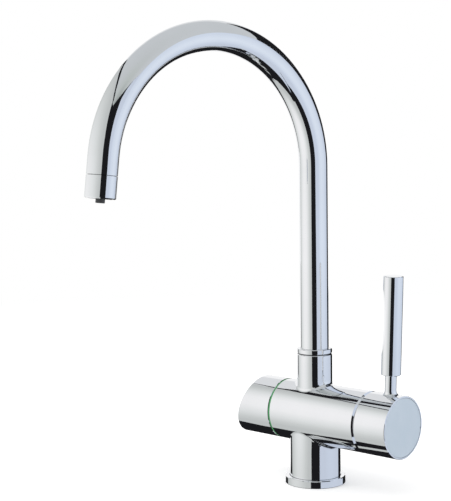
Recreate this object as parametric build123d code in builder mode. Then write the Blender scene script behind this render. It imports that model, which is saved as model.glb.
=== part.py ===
from build123d import *
from math import cos, radians, sin, tan
import os

# Drinking water filter tap, in millimetres. Origin at the centre of the foot, on the worktop.
# +Z is up, +X runs to the mixer lever, -X to the filter knob and -Y to the front.

# Body
barrel_radius = 23.5
barrel_axis_height = 54.6
seam_chamfer = 1.3
column_step = 3.8
neck_radius = 13.7
neck_edge = 0.5
blend_radius = 3.0
seam_margin = 0.5

# Clearances and small edges
running_clearance = 0.08
fitted_clearance = 0.05
sliding_gap = 0.05
overrun = 2.0
fine_edge = 0.3

# Foot, flange and fixings
foot_radius = 17.5
foot_depth = 3.0
flange_radius = 23.4
flange_height = 5.75
flange_edge = 0.5
flange_groove = 0.45
gasket_inner = 20.4
gasket_outer = 22.4
gasket_thickness = 1.4
stud_hole_radius = 3.32
stud_hole_depth = 14.0
inlet_hole_radius = 4.459
inlet_hole_depth = 13.0
inlet_circle_radius = 10.4
hot_and_cold_angle = 60.0

# Waterways
supply_bore = 3.2
mixed_bore = 2.5
mixed_offset = 8.0
filter_supply_bore = 2.2
filter_cross_bore = 2.2
filter_cross_wall = 1.1
port_radius = 3.0
port_side = 6.5
port_rise = 5.0
mixed_port_drop = 7.0
chamber_radius = 9.5
chamber_floor_rise = 7.0
chamber_height = 6.0
spout_bore_depth = 20.6

# Mixer cartridge
cartridge_seat = 14.0
cartridge_base_radius = 17.4
cartridge_base_thickness = 4.0
cartridge_bore_clearance = 0.2
peg_radius = 1.5
peg_length = 2.2
peg_side = 11.0
peg_drop = 8.0
port_seal_inner = 3.2
port_seal_outer = 4.5
port_seal_thickness = 1.5
fixed_disc_radius = 14.9
fixed_disc_thickness = 4.5
moving_disc_radius = 11.3
moving_disc_thickness = 4.4
moving_disc_pocket_radius = 8.2
moving_disc_pocket_depth = 2.2
disc_travel = 6.0
carrier_plate_radius = 11.6
carrier_plate_thickness = 6.4
socket_floor = 1.2
housing_radius = 17.5
housing_cover_thickness = 1.4
housing_cavity_radius = 15.2
housing_neck_radius = 14.0
housing_neck_inset = 1.0
turret_neck_radius = 11.4
turret_flange_radius = 14.9
turret_flange_gap = 0.95
turret_flange_thickness = 8.25
turret_end_inset = 1.8
tilt_pivot_inset = 6.0
tilt_range = 20.0
pivot_pin_radius = 2.0
pivot_pin_half_length = 10.6
ball_radius = 2.8
ball_clearance = 0.3
ball_lift = 4.75
stem_arm_length = 17.5
stem_arm_radius = 2.4
stem_half_width = 3.5
stem_end_inset = 6.5
slot_clearance = 0.5
nut_thread_radius = 19.0
nut_hex_radius = 17.8
nut_hex_height = 2.0
shroud_radius = 20.8
shroud_rim = 1.0
shroud_height = 4.3
shroud_shoulder_radius = 18.4
shroud_shoulder_height = 3.4
shroud_crown_radius = 15.0
shroud_hole_radius = 12.4

# Mixer hub and lever
hub_gap = 1.0
hub_length = 28.3
hub_rim_wall = 0.45
hub_rim_edge = 0.25
hub_wall = 2.4
hub_cone_length = 6.0
hub_web_thickness = 5.0
hub_web_inset = 5.5
hub_boss_radius = 9.5
hub_boss_reach = 8.0
hub_end_rim_wall = 1.2
hub_cap_inset = 0.15
hub_cap_plate = 1.6
hub_cap_wall = 1.2
hub_cap_edge = 0.25
hub_cap_mark_radius = 0.8
hub_cap_mark_angle = 9.0
hub_screw_radius = 2.5
hub_screw_length = 5.6
hub_screw_inset = 4.2
hub_screw_hex = 1.25
hub_screw_hex_depth = 2.5
hub_access_radius = 2.8
lever_inset = 12.5
lever_lean = 1.9
lever_pin_radius = 4.4
lever_pin_flare = 3.4
lever_pin_top = 38.4
lever_spigot_radius = 3.0
lever_spigot_length = 22.0
grip_radius = 7.45
grip_length = 73.6
grip_edge = 0.4
scoop_depth = 1.85
scoop_length = 50.0
scoop_height = 40.0
scoop_bearing = -136.2

# Filter valve and knob
valve_seat_distance = 13.5
valve_depth = 13.0
valve_thread_radius = 10.0
valve_chamber_radius = 4.5
valve_chamber_depth = 7.5
valve_nose_gap = 0.8
gallery_radius = 12.0
gallery_inset = 4.1
gallery_width = 3.8
marker_thickness = 1.5
marker_inner_radius = 14.3
marker_sink = 0.12
valve_flange_radius = 16.0
valve_flange_thickness = 1.6
valve_hex_radius = 12.0
valve_hex_thickness = 3.0
valve_neck_radius = 7.0
valve_neck_length = 3.0
valve_cavity_radius = 7.6
valve_disc_radius = 7.45
valve_disc_gap = 1.8
valve_disc_thickness = 2.8
valve_port_radius = 2.0
valve_port_offset = 4.3
valve_seal_inner = 5.2
valve_window_half_width = 3.0
spindle_flange_thickness = 3.3
spindle_radius = 4.0
spindle_round_reach = 9.4
spindle_square_half = 2.75
spindle_square_length = 8.2
spindle_seal_wire = 0.9
spindle_seal_reach = 0.2
drive_tab_width = 2.4
drive_tab_reach = 1.5
drive_tab_depth = 1.8
circlip_groove_radius = 3.3
circlip_outer_radius = 5.6
circlip_thickness = 0.8
circlip_side_gap = 0.06
circlip_mouth = 4.0
knob_gap = 0.3
knob_length_at_axis = 31.0
knob_slope = 19.0
knob_edge = 0.9
knob_wall = 2.6
knob_end_wall = 3.0
knob_boss_radius = 10.2
knob_boss_inset = 8.9
insert_radius = 6.6
insert_overlap = 0.6
knob_screw_radius = 2.0
knob_screw_inset = 3.8
knob_screw_length = 6.0
knob_screw_hex = 1.0
knob_screw_hex_depth = 2.2
knob_access_radius = 2.3

# Spout
spout_swing = 7.8
tube_radius = 11.05
tube_wall = 1.0
riser_length = 144.7
arch_radius = 95.8
arch_sweep = 173.2
outlet_straight = 28.5
slide_ring_thickness = 0.8
slide_ring_inset = 0.1
collar_height = 3.5
collar_edge = 0.35
ferrule_radius = 10.62
ferrule_bore = 7.5
ferrule_lift = 0.6
ferrule_spigot_length = 9.0
spout_seal_wire = 1.0
spout_seal_squeeze = 0.04
spout_seal_lift = 3.4
spout_seal_drop = 3.0
stop_groove_depth = 1.4
stop_groove_half_width = 1.9
stop_screw_radius = 2.0
stop_screw_tip_radius = 1.4
stop_screw_tip_length = 1.0
stop_screw_hex = 1.0
stop_screw_hex_depth = 1.6

# Nozzle and the inner filter line
nozzle_length = 15.7
nozzle_seam = 0.45
nozzle_edge = 0.8
nozzle_spigot_length = 6.0
nozzle_waterway = 8.0
aerator_radius = 9.0
aerator_inset = 0.6
aerator_height = 8.4
aerator_hole_radius = 0.75
aerator_inner_row_radius = 5.1
aerator_outer_row_radius = 7.3
aerator_inner_row_count = 12
aerator_outer_row_count = 18
washer_inner = 6.2
washer_thickness = 1.4
tip_radius = 3.25
tip_bore = 2.0
tip_length = 2.9
tip_edge = 0.35
tip_socket_radius = 4.6
tip_socket_height = 6.8
hose_radius = 3.175
hose_bore = 2.15
hose_insert_depth = 5.0
adapter_hole_radius = 4.0
adapter_hole_sump = 3.5
adapter_shank = 4.3
adapter_flange_radius = 5.0
adapter_flange_height = 2.0
adapter_socket_radius = 4.6
adapter_rise = 13.0
adapter_hose_stop_rise = 3.0
adapter_seal_lift = 2.1
adapter_seal_wire = 0.7

# Stations along the barrel, outward from the column to the mixer end
port_plate_top = cartridge_seat + cartridge_base_thickness
fixed_disc_top = port_plate_top + fixed_disc_thickness
moving_disc_start = fixed_disc_top + sliding_gap
moving_disc_top = moving_disc_start + moving_disc_thickness
carrier_plate_top = moving_disc_top + carrier_plate_thickness
ball_station = moving_disc_top + ball_lift
tilt_pivot = ball_station + stem_arm_length
barrel_to_mixer_end = tilt_pivot + tilt_pivot_inset
turret_flange_start = carrier_plate_top + turret_flange_gap
turret_end = barrel_to_mixer_end - turret_end_inset
housing_cavity_end = turret_flange_start + turret_flange_thickness + sliding_gap
housing_shoulder = housing_cavity_end + housing_cover_thickness
housing_neck_end = barrel_to_mixer_end - housing_neck_inset
hub_start = barrel_to_mixer_end + hub_gap
hub_end = hub_start + hub_length
hub_web_end = hub_end - hub_web_inset
hub_web_start = hub_web_end - hub_web_thickness
hub_boss_start = hub_web_start - hub_boss_reach
hub_screw_station = hub_web_start - hub_screw_inset
lever_station = hub_end - lever_inset
stem_end = hub_end - stem_end_inset

# Stations along the barrel, outward from the column to the filter knob
valve_seat = -valve_seat_distance
valve_chamber_end = valve_seat + valve_chamber_depth
valve_body_nose = valve_seat - valve_nose_gap
valve_disc_start = valve_seat - valve_disc_gap
gallery_near = valve_seat - gallery_inset
gallery_far = gallery_near - gallery_width
filter_riser_station = (gallery_near + gallery_far) / 2
barrel_to_filter_end = valve_depth - valve_seat
marker_far = -barrel_to_filter_end - marker_thickness
valve_flange_far = marker_far - valve_flange_thickness
valve_hex_far = valve_flange_far - valve_hex_thickness
valve_neck_far = valve_hex_far - valve_neck_length
spindle_seal_station = marker_far - spindle_seal_reach
spindle_square_start = marker_far - spindle_round_reach
spindle_end = spindle_square_start - spindle_square_length
knob_start = marker_far - knob_gap
knob_end_at_axis = knob_start - knob_length_at_axis
knob_boss_start = knob_start - knob_boss_inset
insert_end = spindle_end - insert_overlap
knob_screw_station = spindle_end + knob_screw_inset

# Heights above the barrel, up through the neck to the spout
filter_cross_height = barrel_axis_height + gallery_radius + filter_cross_wall
chamber_floor = filter_cross_height + chamber_floor_rise
chamber_top = chamber_floor + chamber_height
neck_top = chamber_top + spout_bore_depth
ferrule_bottom = chamber_top + ferrule_lift
spout_seal_low = ferrule_bottom + spout_seal_lift
spout_seal_high = neck_top - spout_seal_drop
stop_groove_height = (spout_seal_low + spout_seal_high) / 2
adapter_hole_floor = filter_cross_height - adapter_hole_sump
adapter_bottom = chamber_floor - adapter_shank
adapter_seal_height = adapter_bottom + adapter_seal_lift
adapter_top = chamber_floor + adapter_rise
adapter_hose_stop = chamber_floor + adapter_hose_stop_rise
collar_bottom = neck_top + slide_ring_thickness
arch_start_height = neck_top + riser_length

# Column, narrower than the barrel so that their blend has room
column_radius = barrel_radius - column_step

# Heights below and above the barrel where the casting is divided
column_seam_height = barrel_axis_height - barrel_radius - blend_radius - seam_margin
neck_seam_height = barrel_axis_height + barrel_radius + blend_radius + seam_margin

# Reference planes: local x is the radius and local y runs along the axis
riser_plane = Plane.XZ
barrel_plane = Plane(origin=(0, 0, barrel_axis_height), x_dir=(0, 1, 0), z_dir=(0, 0, -1))
arch_plane = Plane(
    origin=(0, 0, 0),
    x_dir=(-sin(radians(spout_swing)), -cos(radians(spout_swing)), 0),
    z_dir=(-cos(radians(spout_swing)), sin(radians(spout_swing)), 0),
)
outlet_tilt = 180 - arch_sweep
outlet_reach = (
    arch_radius
    + arch_radius * cos(radians(outlet_tilt))
    + outlet_straight * sin(radians(outlet_tilt))
)
outlet_height = (
    arch_start_height
    + arch_radius * sin(radians(outlet_tilt))
    - outlet_straight * cos(radians(outlet_tilt))
)
outlet_plane = Plane(
    arch_plane.location * Location((outlet_reach, outlet_height, 0), (0, 0, outlet_tilt))
)
lever_plane = Plane(
    Plane.XZ.location * Location((lever_station, barrel_axis_height, 0), (0, 0, -lever_lean))
)


def turn(plane, *points, mode=Mode.ADD):
    """Turn a closed outline of (radius, height) points about the plane's own y axis."""
    with BuildSketch(plane) as outline:
        with BuildLine():
            Polyline(*points, close=True)
        make_face()
    revolve(outline.sketch, axis=Axis(plane.origin, plane.y_dir), mode=mode)


def turned_bar(plane, radius, low, high, mode=Mode.ADD):
    """Turn a plain round bar between two heights on the plane's own y axis."""
    turn(plane, (0, low), (radius, low), (radius, high), (0, high), mode=mode)


def ring_bar(plane, inner, outer, low, high, mode=Mode.ADD):
    """Turn a square-edged ring between two heights on the plane's own y axis."""
    turn(plane, (inner, low), (outer, low), (outer, high), (inner, high), mode=mode)


def rod_up(radius, low, high, x=0, y=0, mode=Mode.ADD):
    """Upright round bar between two heights."""
    with Locations((x, y, low)):
        Cylinder(radius, high - low, align=(Align.CENTER, Align.CENTER, Align.MIN), mode=mode)


def rod_along(radius, start, stop, y=0, rise=0, mode=Mode.ADD):
    """Round bar along X between two stations, at a side offset and a rise from the barrel axis."""
    with Locations(Location((start, y, barrel_axis_height + rise), (0, 90, 0))):
        Cylinder(radius, stop - start, align=(Align.CENTER, Align.CENTER, Align.MIN), mode=mode)


def block(x_range, y_half, z_range, mode=Mode.ADD):
    """Box given by its stations along X, its half width and its rises from the barrel axis."""
    with Locations(
        (
            (x_range[0] + x_range[1]) / 2,
            0,
            barrel_axis_height + (z_range[0] + z_range[1]) / 2,
        )
    ):
        Box(x_range[1] - x_range[0], 2 * y_half, z_range[1] - z_range[0], mode=mode)


def hex_along(apothem, start, stop, mode=Mode.ADD):
    """Hexagonal bar along X between two stations on the barrel axis."""
    with BuildSketch(Plane.YZ.offset(start)) as outline:
        with Locations((0, barrel_axis_height)):
            RegularPolygon(apothem, 6, major_radius=False)
    extrude(outline.sketch, amount=stop - start, mode=mode)


def seal_ring(plane, ring_radius, wire_radius, height):
    """Round rubber ring about the plane's own y axis."""
    with BuildSketch(plane) as section:
        with Locations((ring_radius, height)):
            Circle(wire_radius)
    revolve(section.sketch, axis=Axis(plane.origin, plane.y_dir))


# Bores and waterways
cartridge_bore_radius = housing_radius + cartridge_bore_clearance
spout_bore_radius = ferrule_radius + running_clearance
hot_and_cold_x = inlet_circle_radius * cos(radians(hot_and_cold_angle))
hot_and_cold_y = inlet_circle_radius * sin(radians(hot_and_cold_angle))
supply_top = barrel_axis_height + port_rise
mixed_level = barrel_axis_height - mixed_port_drop

# Casting: barrel, column and neck, with every waterway and threaded hole
with BuildPart() as casting:
    turn(
        barrel_plane,
        (0, -barrel_to_filter_end),
        (barrel_radius, -barrel_to_filter_end),
        (barrel_radius, barrel_to_mixer_end - seam_chamfer),
        (barrel_radius - seam_chamfer, barrel_to_mixer_end),
        (0, barrel_to_mixer_end),
    )
    turned_bar(riser_plane, column_radius, foot_depth, barrel_axis_height)
    turn(
        riser_plane,
        (0, barrel_axis_height),
        (neck_radius, barrel_axis_height),
        (neck_radius, neck_top - neck_edge),
        (neck_radius - neck_edge, neck_top),
        (0, neck_top),
    )
    joins = casting.edges().filter_by(GeomType.BSPLINE)
    fillet(joins, radius=blend_radius)
    turned_bar(riser_plane, foot_radius, 0, foot_depth)
    # Mixer side: cartridge bore, nut thread and the two locating holes
    turned_bar(
        barrel_plane,
        cartridge_bore_radius,
        cartridge_seat,
        barrel_to_mixer_end + overrun,
        mode=Mode.SUBTRACT,
    )
    turned_bar(
        barrel_plane,
        nut_thread_radius,
        housing_shoulder,
        barrel_to_mixer_end + overrun,
        mode=Mode.SUBTRACT,
    )
    for side in (-peg_side, peg_side):
        rod_along(
            peg_radius + fitted_clearance,
            cartridge_seat - peg_length - fitted_clearance,
            cartridge_seat + overrun,
            y=side,
            rise=-peg_drop,
            mode=Mode.SUBTRACT,
        )
    # Filter side: valve bore, water gallery and inner chamber
    turned_bar(
        barrel_plane,
        valve_thread_radius,
        -barrel_to_filter_end - overrun,
        valve_seat,
        mode=Mode.SUBTRACT,
    )
    turned_bar(barrel_plane, gallery_radius, gallery_far, gallery_near, mode=Mode.SUBTRACT)
    turned_bar(
        barrel_plane, valve_chamber_radius, valve_seat, valve_chamber_end, mode=Mode.SUBTRACT
    )
    # Neck: spout bore, mixing chamber and the hole for the filter hose adapter
    turned_bar(riser_plane, spout_bore_radius, chamber_top, neck_top + overrun, mode=Mode.SUBTRACT)
    turned_bar(riser_plane, chamber_radius, chamber_floor, chamber_top, mode=Mode.SUBTRACT)
    turned_bar(
        riser_plane, adapter_hole_radius, adapter_hole_floor, chamber_floor, mode=Mode.SUBTRACT
    )
    with Locations(Location((0, 0, stop_groove_height), (-90, 0, 0))):
        Cylinder(
            stop_screw_radius + fitted_clearance,
            neck_radius + overrun,
            align=(Align.CENTER, Align.CENTER, Align.MIN),
            mode=Mode.SUBTRACT,
        )
    # Foot: fixing stud and the three hose inlets
    rod_up(stud_hole_radius, 0, stud_hole_depth, mode=Mode.SUBTRACT)
    for inlet_y in (-hot_and_cold_y, hot_and_cold_y):
        rod_up(
            inlet_hole_radius, 0, inlet_hole_depth, x=hot_and_cold_x, y=inlet_y, mode=Mode.SUBTRACT
        )
        rod_up(
            supply_bore,
            inlet_hole_depth,
            supply_top,
            x=hot_and_cold_x,
            y=inlet_y,
            mode=Mode.SUBTRACT,
        )
    rod_up(inlet_hole_radius, 0, inlet_hole_depth, x=-inlet_circle_radius, mode=Mode.SUBTRACT)
    rod_up(
        filter_supply_bore,
        inlet_hole_depth,
        barrel_axis_height,
        x=-inlet_circle_radius,
        mode=Mode.SUBTRACT,
    )
    # Ports from the cartridge seat, and the mixed and filtered water ways up to the neck
    for port_y in (-port_side, port_side):
        rod_along(
            port_radius,
            hot_and_cold_x,
            cartridge_seat,
            y=port_y,
            rise=port_rise,
            mode=Mode.SUBTRACT,
        )
    rod_along(port_radius, mixed_offset, cartridge_seat, rise=-mixed_port_drop, mode=Mode.SUBTRACT)
    rod_up(mixed_bore, mixed_level, chamber_floor, x=mixed_offset, mode=Mode.SUBTRACT)
    rod_up(
        filter_cross_bore,
        barrel_axis_height + valve_thread_radius,
        filter_cross_height,
        x=filter_riser_station,
        mode=Mode.SUBTRACT,
    )
    rod_along(
        filter_cross_bore,
        filter_riser_station,
        0,
        rise=filter_cross_height - barrel_axis_height,
        mode=Mode.SUBTRACT,
    )

# The casting's three parts, divided just beyond the blends
with BuildPart() as body_column:
    add(casting)
    split(bisect_by=Plane.XY.offset(column_seam_height), keep=Keep.BOTTOM)

with BuildPart() as body_barrel:
    add(casting)
    split(bisect_by=Plane.XY.offset(column_seam_height), keep=Keep.TOP)
    split(bisect_by=Plane.XY.offset(neck_seam_height), keep=Keep.BOTTOM)

with BuildPart() as body_neck:
    add(casting)
    split(bisect_by=Plane.XY.offset(neck_seam_height), keep=Keep.TOP)

# Foot trim and seal
with BuildPart() as base_flange:
    turn(
        riser_plane,
        (foot_radius + fitted_clearance, 0),
        (flange_radius - fine_edge, 0),
        (flange_radius, fine_edge),
        (flange_radius, flange_height - flange_edge),
        (flange_radius - flange_edge, flange_height),
        (column_radius + flange_groove, flange_height),
        (column_radius + fitted_clearance, flange_height - flange_groove),
        (column_radius + fitted_clearance, foot_depth),
        (foot_radius + fitted_clearance, foot_depth),
    )
    ring_bar(riser_plane, gasket_inner, gasket_outer, 0, gasket_thickness, mode=Mode.SUBTRACT)

with BuildPart() as base_gasket:
    ring_bar(riser_plane, gasket_inner, gasket_outer, 0, gasket_thickness)

# Mixer cartridge, from the port plate out to the trim dome
with BuildPart() as cartridge_port_plate:
    turned_bar(barrel_plane, cartridge_base_radius, cartridge_seat, port_plate_top)
    for side in (-peg_side, peg_side):
        rod_along(peg_radius, cartridge_seat - peg_length, cartridge_seat, y=side, rise=-peg_drop)
    for port_y, port_z in ((-port_side, port_rise), (port_side, port_rise), (0, -mixed_port_drop)):
        rod_along(
            port_radius, cartridge_seat, port_plate_top, y=port_y, rise=port_z, mode=Mode.SUBTRACT
        )
        rod_along(
            port_seal_outer,
            cartridge_seat,
            cartridge_seat + port_seal_thickness,
            y=port_y,
            rise=port_z,
            mode=Mode.SUBTRACT,
        )

with BuildPart() as cartridge_port_seals:
    for port_y, port_z in ((-port_side, port_rise), (port_side, port_rise), (0, -mixed_port_drop)):
        rod_along(
            port_seal_outer,
            cartridge_seat,
            cartridge_seat + port_seal_thickness,
            y=port_y,
            rise=port_z,
        )
        rod_along(
            port_seal_inner,
            cartridge_seat,
            cartridge_seat + port_seal_thickness,
            y=port_y,
            rise=port_z,
            mode=Mode.SUBTRACT,
        )

with BuildPart() as cartridge_fixed_disc:
    turned_bar(barrel_plane, fixed_disc_radius, port_plate_top, fixed_disc_top)
    for port_y, port_z in ((-port_side, port_rise), (port_side, port_rise), (0, -mixed_port_drop)):
        rod_along(
            port_radius, port_plate_top, fixed_disc_top, y=port_y, rise=port_z, mode=Mode.SUBTRACT
        )

with BuildPart() as cartridge_moving_disc:
    rod_along(moving_disc_radius, moving_disc_start, moving_disc_top, rise=-disc_travel / 2)
    rod_along(
        moving_disc_pocket_radius,
        moving_disc_start,
        moving_disc_start + moving_disc_pocket_depth,
        rise=-disc_travel / 2,
        mode=Mode.SUBTRACT,
    )

with BuildPart() as cartridge_disc_carrier:
    rod_along(carrier_plate_radius, moving_disc_top, carrier_plate_top, rise=-disc_travel / 2)
    rod_along(
        ball_radius + ball_clearance,
        moving_disc_top + socket_floor,
        carrier_plate_top,
        mode=Mode.SUBTRACT,
    )

with BuildPart() as cartridge_housing:
    turn(
        barrel_plane,
        (housing_cavity_radius, port_plate_top),
        (housing_radius, port_plate_top),
        (housing_radius, housing_shoulder),
        (housing_neck_radius, housing_shoulder),
        (housing_neck_radius, housing_neck_end),
        (turret_neck_radius + running_clearance, housing_neck_end),
        (turret_neck_radius + running_clearance, housing_cavity_end),
        (housing_cavity_radius, housing_cavity_end),
    )

# The slots let the stem tilt from upright to the full opening angle
upper_slot_half = stem_half_width / cos(radians(tilt_range)) + (turret_end - tilt_pivot) * tan(
    radians(tilt_range)
)
lower_slot_rise = stem_arm_radius / cos(radians(tilt_range)) + (
    tilt_pivot - turret_flange_start
) * tan(radians(tilt_range))
with BuildPart() as cartridge_turret:
    turn(
        barrel_plane,
        (0, turret_flange_start),
        (turret_flange_radius, turret_flange_start),
        (turret_flange_radius, housing_cavity_end - sliding_gap),
        (turret_neck_radius, housing_cavity_end - sliding_gap),
        (turret_neck_radius, turret_end),
        (0, turret_end),
    )
    block(
        (turret_flange_start, tilt_pivot),
        stem_arm_radius + slot_clearance,
        (-stem_arm_radius - slot_clearance, lower_slot_rise + slot_clearance),
        mode=Mode.SUBTRACT,
    )
    block(
        (tilt_pivot - stem_half_width - stem_arm_radius, turret_end),
        stem_half_width + slot_clearance,
        (-upper_slot_half - slot_clearance, upper_slot_half + slot_clearance),
        mode=Mode.SUBTRACT,
    )
    with Locations(Location((tilt_pivot, 0, barrel_axis_height), (90, 0, 0))):
        Cylinder(pivot_pin_radius, 2 * pivot_pin_half_length, mode=Mode.SUBTRACT)

with BuildPart() as cartridge_pivot_pin:
    with Locations(Location((tilt_pivot, 0, barrel_axis_height), (90, 0, 0))):
        Cylinder(pivot_pin_radius, 2 * pivot_pin_half_length)

with BuildPart() as cartridge_stem:
    rod_along(stem_arm_radius, ball_station, tilt_pivot)
    with Locations((ball_station, 0, barrel_axis_height)):
        Sphere(ball_radius)
    block((tilt_pivot - stem_half_width, stem_end), stem_half_width, (-stem_half_width, stem_half_width))
    with Locations(Location((tilt_pivot, 0, barrel_axis_height), (90, 0, 0))):
        Cylinder(pivot_pin_radius + running_clearance, 4 * stem_half_width, mode=Mode.SUBTRACT)

with BuildPart() as cartridge_nut:
    turned_bar(
        barrel_plane, nut_thread_radius - fitted_clearance, housing_shoulder, barrel_to_mixer_end
    )
    hex_along(
        nut_hex_radius * cos(radians(30)), barrel_to_mixer_end, barrel_to_mixer_end + nut_hex_height
    )
    turned_bar(
        barrel_plane,
        housing_neck_radius + fitted_clearance,
        housing_shoulder,
        barrel_to_mixer_end + nut_hex_height,
        mode=Mode.SUBTRACT,
    )

with BuildPart() as cartridge_dome:
    turn(
        barrel_plane,
        (nut_hex_radius + fitted_clearance, barrel_to_mixer_end),
        (shroud_radius, barrel_to_mixer_end),
        (shroud_radius, barrel_to_mixer_end + shroud_rim),
        (shroud_shoulder_radius, barrel_to_mixer_end + shroud_shoulder_height),
        (shroud_crown_radius, barrel_to_mixer_end + shroud_height),
        (shroud_hole_radius, barrel_to_mixer_end + shroud_height),
        (shroud_hole_radius, barrel_to_mixer_end + nut_hex_height + fitted_clearance),
        (nut_hex_radius + fitted_clearance, barrel_to_mixer_end + nut_hex_height + fitted_clearance),
    )

# Mixer hub with its cast lever pin, then the pieces that ride on it
hub_inner_radius = barrel_radius - hub_wall
hub_cap_radius = barrel_radius - hub_end_rim_wall
with BuildPart() as mixer_hub:
    turn(
        barrel_plane,
        (0, hub_start),
        (barrel_radius - hub_rim_edge, hub_start),
        (barrel_radius, hub_start + hub_rim_edge),
        (barrel_radius, hub_end - hub_cap_edge),
        (barrel_radius - hub_cap_edge, hub_end),
        (0, hub_end),
    )
    turned_bar(lever_plane, lever_pin_radius, 0, lever_pin_top)
    pin_root = mixer_hub.edges().filter_by(GeomType.BSPLINE)
    fillet(pin_root, radius=lever_pin_flare)
    turned_bar(
        lever_plane, lever_spigot_radius, lever_pin_top, lever_pin_top + lever_spigot_length
    )
    turn(
        barrel_plane,
        (0, hub_start),
        (barrel_radius - hub_rim_wall, hub_start),
        (hub_inner_radius, hub_start + hub_cone_length),
        (hub_inner_radius, hub_web_start),
        (0, hub_web_start),
        mode=Mode.SUBTRACT,
    )
    turned_bar(barrel_plane, hub_cap_radius, hub_web_end, hub_end, mode=Mode.SUBTRACT)
    turned_bar(barrel_plane, hub_boss_radius, hub_boss_start, hub_web_start)
    block(
        (hub_boss_start, stem_end + fitted_clearance),
        stem_half_width + fitted_clearance,
        (-stem_half_width - fitted_clearance, stem_half_width + fitted_clearance),
        mode=Mode.SUBTRACT,
    )
    rod_up(
        hub_screw_radius + fitted_clearance,
        barrel_axis_height - hub_boss_radius - overrun,
        barrel_axis_height,
        x=hub_screw_station,
        mode=Mode.SUBTRACT,
    )
    rod_up(
        hub_access_radius,
        barrel_axis_height - barrel_radius - overrun,
        barrel_axis_height - hub_boss_radius - overrun,
        x=hub_screw_station,
        mode=Mode.SUBTRACT,
    )

hub_cap_face = hub_end - hub_cap_inset
with BuildPart() as hub_end_cap:
    turn(
        barrel_plane,
        (0, hub_cap_face - hub_cap_plate),
        (hub_cap_radius - fitted_clearance - hub_cap_wall, hub_cap_face - hub_cap_plate),
        (hub_cap_radius - fitted_clearance - hub_cap_wall, hub_web_end),
        (hub_cap_radius - fitted_clearance, hub_web_end),
        (hub_cap_radius - fitted_clearance, hub_cap_face - hub_cap_edge),
        (hub_cap_radius - fitted_clearance - hub_cap_edge, hub_cap_face),
        (0, hub_cap_face),
    )
    rod_along(
        hub_cap_mark_radius,
        hub_cap_face - hub_cap_plate / 2,
        hub_end,
        y=hub_cap_radius * cos(radians(hub_cap_mark_angle)),
        rise=-hub_cap_radius * sin(radians(hub_cap_mark_angle)),
        mode=Mode.SUBTRACT,
    )

hub_screw_top = barrel_axis_height - stem_half_width
with BuildPart() as hub_grub_screw:
    rod_up(hub_screw_radius, hub_screw_top - hub_screw_length, hub_screw_top, x=hub_screw_station)
    with BuildSketch(Plane.XY.offset(hub_screw_top - hub_screw_length)):
        with Locations((hub_screw_station, 0)):
            RegularPolygon(hub_screw_hex, 6, major_radius=False)
    extrude(amount=hub_screw_hex_depth, mode=Mode.SUBTRACT)

grip_bottom = lever_pin_top
scoop_radius = (scoop_length**2 / 4 + scoop_depth**2) / (2 * scoop_depth)
scoop_plane = Plane(
    lever_plane.location
    * Location((0, grip_bottom + scoop_height, 0), (0, scoop_bearing, 0))
)
with BuildPart() as lever_handle:
    turn(
        lever_plane,
        (lever_spigot_radius + fitted_clearance, grip_bottom),
        (grip_radius - grip_edge, grip_bottom),
        (grip_radius, grip_bottom + grip_edge),
        (grip_radius, grip_bottom + grip_length - grip_edge),
        (grip_radius - grip_edge, grip_bottom + grip_length),
        (0, grip_bottom + grip_length),
        (0, grip_bottom + lever_spigot_length + fitted_clearance),
        (lever_spigot_radius + fitted_clearance, grip_bottom + lever_spigot_length + fitted_clearance),
    )
    with BuildSketch(scoop_plane):
        with Locations((grip_radius - scoop_depth + scoop_radius, 0)):
            Circle(scoop_radius)
    extrude(amount=grip_radius, both=True, mode=Mode.SUBTRACT)

# Filter side: coloured marker ring and quarter-turn valve
with BuildPart() as filter_marker_ring:
    ring_bar(
        barrel_plane,
        marker_inner_radius,
        barrel_radius - marker_sink,
        marker_far,
        -barrel_to_filter_end,
    )

valve_fixed_far = valve_disc_start - valve_disc_thickness
valve_moving_near = valve_fixed_far - sliding_gap
valve_moving_far = valve_moving_near - valve_disc_thickness
spindle_flange_far = valve_moving_far - spindle_flange_thickness
valve_cavity_far = spindle_flange_far - sliding_gap
spindle_bore = spindle_radius + running_clearance
with BuildPart() as filter_valve_body:
    turn(
        barrel_plane,
        (valve_cavity_radius, valve_body_nose),
        (valve_thread_radius - fitted_clearance, valve_body_nose),
        (valve_thread_radius - fitted_clearance, marker_far),
        (valve_flange_radius, marker_far),
        (valve_flange_radius, valve_flange_far),
        (valve_neck_radius, valve_flange_far),
        (valve_neck_radius, valve_neck_far),
        (spindle_bore, valve_neck_far),
        (spindle_bore, valve_cavity_far),
        (valve_cavity_radius, valve_cavity_far),
    )
    hex_along(valve_hex_radius, valve_hex_far, valve_flange_far)
    turned_bar(barrel_plane, spindle_bore, valve_neck_far, valve_flange_far, mode=Mode.SUBTRACT)
    block(
        (valve_moving_far, valve_moving_near),
        valve_window_half_width,
        (-valve_thread_radius, valve_thread_radius),
        mode=Mode.SUBTRACT,
    )

with BuildPart() as filter_valve_seal:
    ring_bar(
        barrel_plane,
        valve_seal_inner,
        valve_cavity_radius - fitted_clearance,
        valve_disc_start,
        valve_seat,
    )

with BuildPart() as filter_fixed_disc:
    turned_bar(barrel_plane, valve_disc_radius, valve_fixed_far, valve_disc_start)
    for rise in (-valve_port_offset, valve_port_offset):
        rod_along(
            valve_port_radius, valve_fixed_far, valve_disc_start, rise=rise, mode=Mode.SUBTRACT
        )

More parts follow.
